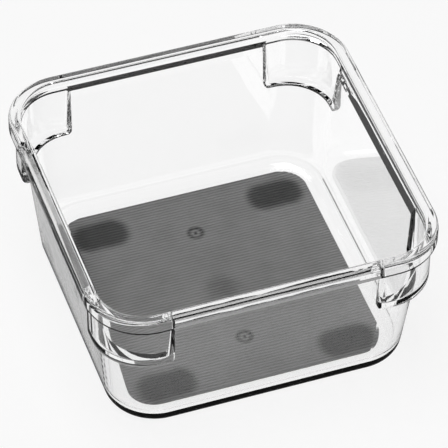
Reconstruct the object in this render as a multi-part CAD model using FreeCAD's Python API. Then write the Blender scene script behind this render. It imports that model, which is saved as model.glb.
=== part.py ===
# Square open bin for drawers, in clear moulded plastic, with a ribbed grey
# liner bonded to its floor and four grey pads under it to stop it sliding.
# Millimetres.  Origin: centre of the plane that the pads stand on.
# +Z up, +X along the front side, +Y towards the rear.
import FreeCAD, Part
import math
import os
from FreeCAD import Vector

os.makedirs("parts", exist_ok=True)

# Driving dimensions
SIDE = 104.0            # outer side of the rim, both ways
PAD_PROUD = 0.6         # pads stand this far below the floor
TRAY_HEIGHT = 50.4      # clear tray alone, floor underside to top of rim

RIM_CORNER_R = 17.0     # plan radius of the rim
RIM_HEIGHT = 4.8        # depth of the outward flange
RIM_TOP_ROUND = 1.2     # rounding of the upper outer edge
RIM_LOWER_BEVEL = 0.5   # bevel of the lower outer edge
RIM_WIDTH = 3.6         # flange edge to the inner face of the rim
RIM_INNER_ROUND = 0.9   # rounding of the upper inner edge
RIM_LEDGE_DEPTH = 1.6   # straight inner face of the rim before it slopes in
RIM_SLOPE_DEPTH = 3.6   # slope from the rim's inner face to the wall

WALL = 2.0              # wall thickness
FLOOR = 2.0             # floor thickness
BASE_INSET = 7.0        # rim edge to the wall, at the top of the base rounding
WALL_CORNER_R = 15.0    # outside, square to the sloping corner
BASE_ROUND = 3.2        # outer rounding between base and walls
INNER_FLOOR_ROUND = 3.4
WALL_INSET = 3.1        # rim edge to the wall, just under the flange

POCKET_INSET = 1.8      # rim edge to the outer face of a corner pocket
POCKET_DEPTH = 18.4     # rim top to the shelf of a corner pocket
POCKET_REACH_TOP = 22.1 # rim edge to the outer end of a pocket, at the rim
POCKET_END_LEAN = 0.3   # how far that end leans in from the rim down to the shelf
POCKET_SHELF = 2.0      # thickness of the shelf
STEP_TOP = 0.0          # wall between the two ends of a pocket, at the rim
STEP_LOW = 1.2          # the same at the shelf
POCKET_LOWER_ROUND = 1.6
POCKET_END_ROUND = 1.5
POCKET_SHELF_BEVEL = 0.6

LINER_INSET = 6.6       # outside of the base to the edge of the liner
LINER_CORNER_R = 8.0
LINER_SHEET = 0.45      # solid part of the liner under its ridges
RIDGE_PITCH = 1.055
RIDGE_HEIGHT = 0.18
GATE_OFFSET = 21.6      # centre of the liner to each gate mark
GATE_RING_R = 2.3
GATE_RING_WIDTH = 0.5
GATE_NUB_R = 0.45

PAD_LENGTH = 15.6
PAD_WIDTH = 10.6
PAD_CORNER_R = 4.9
PAD_RECESS = 0.4        # pads sit this deep in the underside
PAD_BEVEL = 0.25
PAD_INSET_X = 18.4      # outside of the base to the middle of a pad
PAD_INSET_Y = 14.7

MARGIN = 1.0            # cutting and joining shapes reach this far past the surface

# Sizes that follow from them
BASE_Z = PAD_PROUD
TOP_Z = BASE_Z + TRAY_HEIGHT
FLANGE_Z = TOP_Z - RIM_HEIGHT
FLOOR_Z = BASE_Z + FLOOR
SHELF_Z = TOP_Z - POCKET_DEPTH
DRAFT_Z = BASE_Z + BASE_ROUND
BASE_HALF = SIDE / 2 - BASE_INSET
WALL_TOP_HALF = SIDE / 2 - WALL_INSET
POCKET_HALF = SIDE / 2 - POCKET_INSET
POCKET_END_TOP = SIDE / 2 - POCKET_REACH_TOP
POCKET_END_LOW = POCKET_END_TOP + POCKET_END_LEAN
RIM_INNER_HALF = SIDE / 2 - RIM_WIDTH
LINER_HALF = BASE_HALF - LINER_INSET
PAD_X = BASE_HALF - PAD_INSET_X
PAD_Y = BASE_HALF - PAD_INSET_Y


def line_at(z, z0, v0, z1, v1):
    return v0 + (v1 - v0) * (z - z0) / (z1 - z0)


def wall_half(z):
    return line_at(z, DRAFT_Z, BASE_HALF, FLANGE_Z, WALL_TOP_HALF)


def rounded_wire(half_x, half_y, radius, z):
    edges = []
    points = []
    for sx, sy, start in ((1, 1, 0), (-1, 1, 90), (-1, -1, 180), (1, -1, 270)):
        cx = sx * (half_x - radius)
        cy = sy * (half_y - radius)
        arc = []
        for turn in (0, 45, 90):
            a = math.radians(start + turn)
            arc.append(Vector(cx + radius * math.cos(a), cy + radius * math.sin(a), z))
        points.append(arc)
    for i in range(4):
        edges.append(Part.Arc(*points[i]).toShape())
        edges.append(Part.makeLine(points[i][2], points[(i + 1) % 4][0]))
    return Part.Wire(edges)


def prism(half_x, half_y, radius, z0, z1):
    face = Part.Face(rounded_wire(half_x, half_y, radius, z0))
    return face.extrude(Vector(0, 0, z1 - z0))


def flat_sided(low, high, z0, z1):
    # low and high: (x0, x1, y0, y1) of the two ends
    block = Part.makeWedge(low[0], z0, -low[3], -high[3], high[0],
                           low[1], z1, -low[2], -high[2], high[1])
    block.rotate(Vector(0, 0, 0), Vector(1, 0, 0), 90)
    return block


def tapered(half0, z0, half1, z1, radius):
    low = (-half0, half0, -half0, half0)
    high = (-half1, half1, -half1, half1)
    block = flat_sided(low, high, z0, z1)
    rising = [e for e in block.Edges if e.BoundBox.ZLength > (z1 - z0) / 2]
    return block.makeFillet(radius, rising)


def ring_edges(shape, z, tolerance=0.01):
    found = []
    for edge in shape.Edges:
        b = edge.BoundBox
        if abs(b.ZMin - z) < tolerance and abs(b.ZMax - z) < tolerance:
            found.append(edge)
    return found


def upright_edges(shape, half):
    found = []
    for edge in shape.Edges:
        b = edge.BoundBox
        reach = max(abs(b.Center.x), abs(b.Center.y))
        if b.ZLength > POCKET_DEPTH / 2 and abs(reach - half) < 0.01:
            if edge.Curve.TypeId == "Part::GeomLine":
                found.append(edge)
    return found


def end_edges(shape, half, low, top):
    near = min(low, top) - MARGIN / 2
    far = max(low, top) + MARGIN / 2
    found = []
    for edge in upright_edges(shape, half):
        c = edge.BoundBox.Center
        if near < min(abs(c.x), abs(c.y)) < far:
            found.append(edge)
    return found


def corner_blocks(low, top, z0, z1):
    far = SIDE / 2 + MARGIN
    blocks = []
    for sx in (1, -1):
        for sy in (1, -1):
            ends = []
            for near in (low, top):
                ends.append(sorted((sx * near, sx * far)) + sorted((sy * near, sy * far)))
            blocks.append(flat_sided(ends[0], ends[1], z0, z1))
    return blocks


def drafted_shell_outer():
    z0 = BASE_Z
    z1 = FLANGE_Z + MARGIN
    body = tapered(wall_half(z0), z0, wall_half(z1), z1, WALL_CORNER_R)
    return body.makeFillet(BASE_ROUND, ring_edges(body, z0))


def flange():
    plate = prism(SIDE / 2, SIDE / 2, RIM_CORNER_R, FLANGE_Z, TOP_Z)
    plate = plate.makeFillet(RIM_TOP_ROUND, ring_edges(plate, TOP_Z))
    return plate.makeChamfer(RIM_LOWER_BEVEL, ring_edges(plate, FLANGE_Z))


def pocket_bumps():
    radius = RIM_CORNER_R - POCKET_INSET
    z0 = SHELF_Z - POCKET_SHELF
    ring = prism(POCKET_HALF, POCKET_HALF, radius, z0, FLANGE_Z + MARGIN)
    blocks = corner_blocks(POCKET_END_LOW, POCKET_END_TOP, z0, FLANGE_Z + MARGIN)
    bumps = []
    for block in blocks:
        bump = ring.common(block)
        ends = end_edges(bump, POCKET_HALF, POCKET_END_LOW, POCKET_END_TOP)
        bump = bump.makeFillet(POCKET_END_ROUND, ends)
        bumps.append(bump.makeFillet(POCKET_LOWER_ROUND, ring_edges(bump, z0)))
    return bumps


def main_cavity():
    z0 = FLOOR_Z
    z1 = TOP_Z - RIM_LEDGE_DEPTH - RIM_SLOPE_DEPTH
    half0 = wall_half(z0) - WALL
    half1 = wall_half(z1) - WALL
    cavity = tapered(half0, z0, half1, z1, WALL_CORNER_R - WALL)
    cavity = cavity.makeFillet(INNER_FLOOR_ROUND, ring_edges(cavity, z0))
    z2 = TOP_Z - RIM_LEDGE_DEPTH
    radius2 = RIM_CORNER_R - RIM_WIDTH
    slope = tapered(half1, z1, RIM_INNER_HALF, z2, WALL_CORNER_R - WALL)
    mouth = prism(RIM_INNER_HALF, RIM_INNER_HALF, radius2, z2, TOP_Z + MARGIN)
    return cavity.fuse([slope, mouth])


def pocket_cavities():
    half = POCKET_HALF - WALL
    radius = RIM_CORNER_R - POCKET_INSET - WALL
    hollow = prism(half, half, radius, SHELF_Z, TOP_Z - MARGIN)
    low = POCKET_END_LOW + STEP_LOW
    top = POCKET_END_TOP + STEP_TOP
    hollows = []
    for block in corner_blocks(low, top, SHELF_Z, TOP_Z - MARGIN):
        part = hollow.common(block)
        ends = end_edges(part, half, low, top)
        part = part.makeFillet(POCKET_END_ROUND, ends)
        hollows.append(part.makeChamfer(POCKET_SHELF_BEVEL, ring_edges(part, SHELF_Z)))
    return hollows


def pad_places():
    for sx in (1, -1):
        for sy in (1, -1):
            yield sx * PAD_X, sy * PAD_Y


def pad_blank(z0, z1):
    return prism(PAD_LENGTH / 2, PAD_WIDTH / 2, PAD_CORNER_R, z0, z1)


def tray():
    body = drafted_shell_outer().fuse([flange()] + pocket_bumps())
    body = body.cut([main_cavity()] + pocket_cavities())
    body = body.removeSplitter()
    mouth_edges = ring_edges(body, TOP_Z)
    inner = [e for e in mouth_edges if e.BoundBox.XMax - e.BoundBox.XMin < SIDE]
    inner = [e for e in inner if edge_distance(e) < RIM_INNER_HALF + MARGIN / 10]
    body = body.makeFillet(RIM_INNER_ROUND, inner)
    recess = pad_blank(BASE_Z - MARGIN, BASE_Z + PAD_RECESS)
    cuts = []
    for x, y in pad_places():
        cuts.append(recess.translated(Vector(x, y, 0)))
    return body.cut(cuts)


def edge_distance(edge):
    b = edge.BoundBox
    return max(abs(b.XMin), abs(b.XMax), abs(b.YMin), abs(b.YMax))


def liner():
    z0 = FLOOR_Z
    z_sheet = z0 + LINER_SHEET
    z_top = z_sheet + RIDGE_HEIGHT
    half = LINER_HALF
    reach = half + MARGIN
    ridges = math.ceil(2 * half / RIDGE_PITCH) + 1
    start = -ridges * RIDGE_PITCH / 2
    points = [Vector(-reach, start, z0)]
    for i in range(ridges):
        y = start + i * RIDGE_PITCH
        points.append(Vector(-reach, y, z_sheet))
        points.append(Vector(-reach, y + RIDGE_PITCH * 0.3, z_top))
        points.append(Vector(-reach, y + RIDGE_PITCH * 0.7, z_top))
    points.append(Vector(-reach, -start, z_sheet))
    points.append(Vector(-reach, -start, z0))
    points.append(points[0])
    slab = Part.Face(Part.makePolygon(points)).extrude(Vector(2 * reach, 0, 0))
    sheet = slab.common(prism(half, half, LINER_CORNER_R, z0, z_top))
    for y in (GATE_OFFSET, -GATE_OFFSET):
        centre = Vector(0, y, z_sheet)
        sheet = sheet.cut(Part.makeCylinder(GATE_RING_R, RIDGE_HEIGHT * 2, centre))
        ring = Part.makeCylinder(GATE_RING_R, RIDGE_HEIGHT, centre)
        ring = ring.cut(Part.makeCylinder(GATE_RING_R - GATE_RING_WIDTH, RIDGE_HEIGHT, centre))
        nub = Part.makeCylinder(GATE_NUB_R, RIDGE_HEIGHT, centre)
        sheet = sheet.fuse([ring, nub])
    return sheet


def pad(x, y):
    blank = pad_blank(0, PAD_PROUD + PAD_RECESS)
    blank = blank.makeChamfer(PAD_BEVEL, ring_edges(blank, 0))
    return blank.translated(Vector(x, y, 0))


def write(name, shape):
    solids = shape.Solids
    if len(solids) != 1 or not shape.isValid():
        raise ValueError("%s: %d solids, valid %s" % (name, len(solids), shape.isValid()))
    solids[0].exportStep("parts/%s.step" % name)


write("tray", tray())
write("floor_liner", liner())
names = ("pad_rear_right", "pad_front_right", "pad_rear_left", "pad_front_left")
for name, (x, y) in zip(names, pad_places()):
    write(name, pad(x, y))
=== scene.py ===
# Square drawer bin in clear acrylic, with a ribbed soft liner moulded onto
# its floor and four soft pads moulded onto its underside.
# Metres.  Origin: centre of the plane that the pads stand on.  +Z up.
import math

import bpy
from mathutils import Matrix, Quaternion, Vector

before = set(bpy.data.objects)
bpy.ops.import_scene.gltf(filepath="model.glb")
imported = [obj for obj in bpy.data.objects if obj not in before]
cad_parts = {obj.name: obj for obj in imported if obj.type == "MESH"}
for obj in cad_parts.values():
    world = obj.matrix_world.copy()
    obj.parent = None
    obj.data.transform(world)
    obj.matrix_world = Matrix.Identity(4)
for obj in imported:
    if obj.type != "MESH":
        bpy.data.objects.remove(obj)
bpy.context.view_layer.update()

MM = 0.001

RIDGE_PITCH = 1.055 * MM               # one ridge of the liner to the next
GATE_Y = 21.6 * MM                     # middle of the liner to a gate mark
GATE_RING = 2.0 * MM                   # radius of the ring of a gate mark
GATE_RING_FADE = 1.25 * MM             # its shade is gone this far from it
GATE_NUB_FADE = 0.9 * MM
PAD_SHADOW = (27.6 * MM, 31.0 * MM)     # middle of the painted shadow that a pad gives the liner
PAD_SHADOW_HALF = (8.7 * MM, 5.6 * MM)
PAD_SHADOW_CORNER = 4.9 * MM
MIDDLE_SPOT_RADIUS = 5 * MM                   # soft darker spot at the middle of the liner
SHADE_SHIFT = (0.3 * MM, -1.6 * MM)    # the painted shadows lie a little forward of the pads

# How much each of them darkens the liner, from 0 to 1.
PAD_SHADOW_WEIGHT = 0.72
MIDDLE_SPOT_WEIGHT = 0.3
RING_WEIGHT = 0.5
NUB_WEIGHT = 0.8
# painted shade in the valleys between the ridges
VALLEY_SHADE_WEIGHT = 0.46
CLOUD_WEIGHT = 0.12

# How much of the floor's look is a plain glow rather than lit paper, for the three
# ways in which it is met.  The glow is white, apart from the mirrored one, whose
# level is low and keeps the outside of the walls and the base's edge dark.
FLOOR_STRAIGHT = 0.86
FLOOR_THROUGH = 0.97
FLOOR_MIRRORED = 0.9
FLOOR_MIRRORED_LEVEL = 0.06
FLOOR_HALF = 4.0

ROOM_LEVEL = 0.01                      # brightness of the room above the horizon


def from_hex(code):
    """sRGB hex to the linear colour that a shader takes."""
    parts = [int(code[i:i + 2], 16) / 255 for i in (0, 2, 4)]
    linear = [c / 12.92 if c <= 0.04045 else ((c + 0.055) / 1.055) ** 2.4 for c in parts]
    return (*linear, 1.0)


def add(tree, kind, settings=None, links=None, **attributes):
    """Adds a node, sets its attributes and input values, and links its inputs."""
    node = tree.nodes.new(kind)
    for name, value in attributes.items():
        setattr(node, name, value)
    for key, value in (settings or {}).items():
        node.inputs[key].default_value = value
    for key, source in (links or {}).items():
        tree.links.new(source, node.inputs[key])
    return node


def fill(tree, node, sources):
    """Gives a node's inputs, in their order, values or other nodes' outputs."""
    for socket, source in zip(node.inputs, sources):
        if isinstance(source, bpy.types.NodeSocket):
            tree.links.new(source, socket)
        else:
            socket.default_value = source


def number(tree, operation, *sources, clamp=False):
    node = add(tree, "ShaderNodeMath", operation=operation, use_clamp=clamp)
    fill(tree, node, sources)
    return node.outputs["Value"]


def vector(tree, operation, *sources):
    node = add(tree, "ShaderNodeVectorMath", operation=operation)
    fill(tree, node, sources)
    return node.outputs["Value" if operation == "LENGTH" else "Vector"]


def ramp(tree, value, start, end, first, last, kind="LINEAR"):
    """first where the value is start or less, last where it is end or more."""
    return add(tree, "ShaderNodeMapRange",
               {"From Min": start, "From Max": end, "To Min": first, "To Max": last},
               {"Value": value}, interpolation_type=kind).outputs["Result"]


def noise(tree, place, size, detail, **settings):
    return add(tree, "ShaderNodeTexNoise", {"Scale": 1 / size, "Detail": detail, **settings},
               {"Vector": place}).outputs["Fac"]


def new_material(name):
    """An empty material, its node tree and the place on the object, in metres."""
    material = bpy.data.materials.new(name)
    material.use_nodes = True
    tree = material.node_tree
    tree.nodes.clear()
    return material, tree, add(tree, "ShaderNodeTexCoord").outputs["Object"]


def show(tree, surface):
    add(tree, "ShaderNodeOutputMaterial", links={"Surface": surface})


def clear_acrylic():
    """Acrylic, injection-moulded in a polished tool: clear as glass, with a slow
    waviness where the melt met and a trace of haze."""
    material, tree, place = new_material("clear_acrylic_moulded")
    ripple = noise(tree, place, 14 * MM, 1.5, Roughness=0.4)
    wave = add(tree, "ShaderNodeBump", {"Strength": 0.35, "Distance": 0.15 * MM},
               {"Height": ripple}).outputs["Normal"]
    rough = ramp(tree, noise(tree, place, 6 * MM, 3.0), 0.35, 0.75, 0.0, 0.012)
    body = add(tree, "ShaderNodeBsdfPrincipled",
               {"Base Color": from_hex("FEFEFE"), "IOR": 1.49, "Transmission Weight": 1.0},
               {"Roughness": rough, "Normal": wave})
    show(tree, body.outputs["BSDF"])
    return material


def soft_grip(name, colour, dark, shades=None):
    """Thermoplastic elastomer, moulded in a spark-eroded tool: matt and a little
    milky, with a fine grain and a slow cloudiness.  shades adds darker marks and painted shade."""
    material, tree, place = new_material(name)
    grain = noise(tree, place, 0.4 * MM, 2.0)
    shade = ramp(tree, noise(tree, place, 9 * MM, 2.0), 0.3, 0.7, 0.0, CLOUD_WEIGHT)
    if shades is not None:
        shade = number(tree, "ADD", shade, shades(tree, place), clamp=True)
    tint = add(tree, "ShaderNodeMix", {"A": from_hex(colour), "B": from_hex(dark)},
               {"Factor": shade}, data_type="RGBA").outputs["Result"]
    bump = add(tree, "ShaderNodeBump", {"Strength": 0.3, "Distance": 0.03 * MM},
               {"Height": grain}).outputs["Normal"]
    body = add(tree, "ShaderNodeBsdfPrincipled", {"IOR": 1.49, "Specular IOR Level": 0.35},
               {"Base Color": tint, "Roughness": ramp(tree, grain, 0.3, 0.7, 0.5, 0.62),
                "Normal": bump})
    show(tree, body.outputs["BSDF"])
    return material


def soft_spot(tree, place, centre, half, corner, full, none):
    """1 inside a rounded rectangle on the floor, fading to 0 outside it; its four
    mirror images count as well.  full and none: distances from its outline."""
    reach = (half[0] - corner, half[1] - corner)
    past = vector(tree, "SUBTRACT", vector(tree, "ABSOLUTE", place),
                  (centre[0] + reach[0], centre[1] + reach[1], 0))
    span = vector(tree, "ADD", past, (2 * reach[0], 2 * reach[1], 1))
    off = vector(tree, "ADD", vector(tree, "MINIMUM", span, (0, 0, 0)),
                 vector(tree, "MAXIMUM", past, (0, 0, 0)))
    distance = vector(tree, "LENGTH", vector(tree, "MULTIPLY", off, (1, 1, 0)))
    return ramp(tree, distance, corner + full, corner + none, 1.0, 0.0, "SMOOTHERSTEP")


def ring_round_gate(tree, place, radius, fade):
    """1 on a thin ring round each of the two gate marks, 0 beyond fade from it."""
    past = vector(tree, "SUBTRACT", vector(tree, "ABSOLUTE", place), (0, GATE_Y, 0))
    distance = vector(tree, "LENGTH", vector(tree, "MULTIPLY", past, (1, 1, 0)))
    off = number(tree, "ABSOLUTE", number(tree, "SUBTRACT", distance, radius))
    return ramp(tree, off, 0.0, fade, 1.0, 0.0, "SMOOTHSTEP")


def ridge_valley_shade(tree, place):
    """Painted shade: 1 in the valleys between the ridges, 0 on their crests."""
    across = add(tree, "ShaderNodeSeparateXYZ", links={0: place}).outputs["Y"]
    turn = number(tree, "MULTIPLY", across, 2 * math.pi / RIDGE_PITCH)
    return number(tree, "MULTIPLY_ADD", number(tree, "COSINE", turn), 0.5, 0.5)


def liner_marks_and_painted_shade(tree, place):
    """What makes the milky sheet darker: painted shadows of the four pads, which show
    through it as soft places, a soft darker spot at the middle, the rings and nubs of
    the two gates, and painted shade in the valleys between its ridges."""
    moved = vector(tree, "SUBTRACT", place, (*SHADE_SHIFT, 0))
    # painted shadows of the four pads, seen as soft places through the milky sheet
    pads = soft_spot(tree, moved, PAD_SHADOW, PAD_SHADOW_HALF, PAD_SHADOW_CORNER,
                     full=-2.8 * MM, none=2.0 * MM)
    # a soft darker spot at the middle of the liner
    middle_spot = soft_spot(tree, moved, (0, 0), (MIDDLE_SPOT_RADIUS, MIDDLE_SPOT_RADIUS), MIDDLE_SPOT_RADIUS,
                     full=-MIDDLE_SPOT_RADIUS, none=3.5 * MM)
    total = number(tree, "MULTIPLY", pads, PAD_SHADOW_WEIGHT)
    for share, weight in ((middle_spot, MIDDLE_SPOT_WEIGHT),
                          (ring_round_gate(tree, place, GATE_RING, GATE_RING_FADE), RING_WEIGHT),
                          (ring_round_gate(tree, place, 0.0, GATE_NUB_FADE), NUB_WEIGHT),
                          (ridge_valley_shade(tree, place), VALLEY_SHADE_WEIGHT)):
        total = number(tree, "ADD", total, number(tree, "MULTIPLY", share, weight))
    return total


def assign(node, material):
    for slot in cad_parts[node].material_slots:
        slot.material = material


def studio_floor():
    """White paper under the bin, with a faint fibre in its tone.  It stays nearly
    white to the eye and through the clear plastic, and takes a faint shadow."""
    half = FLOOR_HALF
    mesh = bpy.data.meshes.new("paper_floor")
    mesh.from_pydata([(-half, -half, 0), (half, -half, 0), (half, half, 0), (-half, half, 0)],
                     [], [(0, 1, 2, 3)])
    floor = bpy.data.objects.new("paper_floor", mesh)
    bpy.context.scene.collection.objects.link(floor)
    material, tree, place = new_material("white_paper")
    tone = add(tree, "ShaderNodeMix", {"A": from_hex("EDEDED"), "B": from_hex("E6E6E6")},
               {"Factor": noise(tree, place, 2 * MM, 3.0)}, data_type="RGBA").outputs["Result"]
    surface = add(tree, "ShaderNodeBsdfPrincipled", {"Roughness": 0.9, "Specular IOR Level": 0.1},
                  {"Base Color": tone}).outputs["BSDF"]
    path = add(tree, "ShaderNodeLightPath").outputs
    mirrored = number(tree, "SUBTRACT", path["Is Glossy Ray"], path["Is Transmission Ray"],
                      clamp=True)
    for ray, share, level in ((path["Is Camera Ray"], FLOOR_STRAIGHT, 1.0),
                              (path["Is Transmission Ray"], FLOOR_THROUGH, 1.0),
                              (mirrored, FLOOR_MIRRORED, FLOOR_MIRRORED_LEVEL)):
        glow = add(tree, "ShaderNodeEmission", {"Color": (1, 1, 1, 1), "Strength": level})
        surface = add(tree, "ShaderNodeMixShader",
                      links={0: number(tree, "MULTIPLY", ray, share), 1: surface,
                             2: glow.outputs["Emission"]}).outputs["Shader"]
    show(tree, surface)
    floor.data.materials.append(material)


def studio_world():
    """Dim room above a white horizon, so that the rounded edges draw dark lines.
    Seen straight, it is white all over."""
    world = bpy.data.worlds.new("studio_room")
    bpy.context.scene.world = world
    world.use_nodes = True
    tree = world.node_tree
    tree.nodes.clear()
    way = add(tree, "ShaderNodeTexCoord").outputs["Generated"]
    up = add(tree, "ShaderNodeSeparateXYZ", links={0: way}).outputs["Z"]
    room = ramp(tree, up, 0.05, 0.14, 1.0, ROOM_LEVEL, "SMOOTHSTEP")
    straight = add(tree, "ShaderNodeLightPath").outputs["Is Camera Ray"]
    sky = add(tree, "ShaderNodeBackground", {"Color": (1, 1, 1, 1)},
              {"Strength": number(tree, "MAXIMUM", room, straight)})
    add(tree, "ShaderNodeOutputWorld", links={"Surface": sky.outputs["Background"]})


def softbox(name, place, aim, width, height, level, turn=0.0):
    """A rectangular light whose face is as bright as white paper times level."""
    lamp = bpy.data.lights.new(name, "AREA")
    lamp.shape = "RECTANGLE"
    lamp.size = width
    lamp.size_y = height
    lamp.energy = level * math.pi * width * height
    lamp.color = (1, 1, 1)
    body = bpy.data.objects.new(name, lamp)
    body.location = place
    body.rotation_mode = "QUATERNION"
    facing = (Vector(aim) - Vector(place)).to_track_quat("-Z", "Y")
    body.rotation_quaternion = facing @ Quaternion((0, 0, 1), turn)
    bpy.context.scene.collection.objects.link(body)


def look_from_photo():
    """The photograph's view: 46 degrees down, from the front and a little left."""
    lens = bpy.data.cameras.new("photo_view")
    lens.sensor_width = 36.0
    lens.lens = 299.85
    lens.clip_start = 0.05
    lens.clip_end = 20.0
    camera = bpy.data.objects.new("photo_view", lens)
    right = Vector((0.945108, -0.326637, 0.008884))
    up = Vector((0.227444, 0.677130, 0.699832))
    place = Vector((-0.252870, -0.714304, 0.801139))
    facing = Matrix((right, up, right.cross(up))).transposed()
    camera.matrix_world = Matrix.Translation(place) @ facing.to_4x4()
    bpy.context.scene.collection.objects.link(camera)
    bpy.context.scene.camera = camera


clear = clear_acrylic()
liner_grip = soft_grip("liner_elastomer_moulded", "8E8E8E", "303030", liner_marks_and_painted_shade)
pad_grip = soft_grip("pad_elastomer_moulded", "3C3C3C", "2C2C2C")
assign("tray", clear)
assign("floor_liner", liner_grip)
for node in ("pad_rear_right", "pad_front_right", "pad_rear_left", "pad_front_left"):
    assign(node, pad_grip)

studio_floor()
studio_world()

# The overhead lamp lights the bin.  The low ones at the right front and behind are
# dim and show mostly as reflections in the plastic.  The one behind draws the white
# line under the front flange.
softbox("overhead_softbox", (-0.2, -0.1, 1.3), aim=(0, 0, 0), width=1.2, height=0.8,
        level=4.9, turn=math.radians(-20))
softbox("side_softbox", (0.95, -0.55, 0.28), aim=(0, 0, 0.03), width=1.0, height=0.45, level=1.0)
softbox("rear_softbox", (0.25, 1.0, 0.62), aim=(0, 0, 0), width=0.9, height=0.5, level=0.3)

look_from_photo()
bpy.context.scene.view_settings.view_transform = "Standard"

# Light runs a long way inside clear walls before it leaves them.
bpy.context.scene.cycles.max_bounces = 32
bpy.context.scene.cycles.transmission_bounces = 32
bpy.context.scene.cycles.glossy_bounces = 14
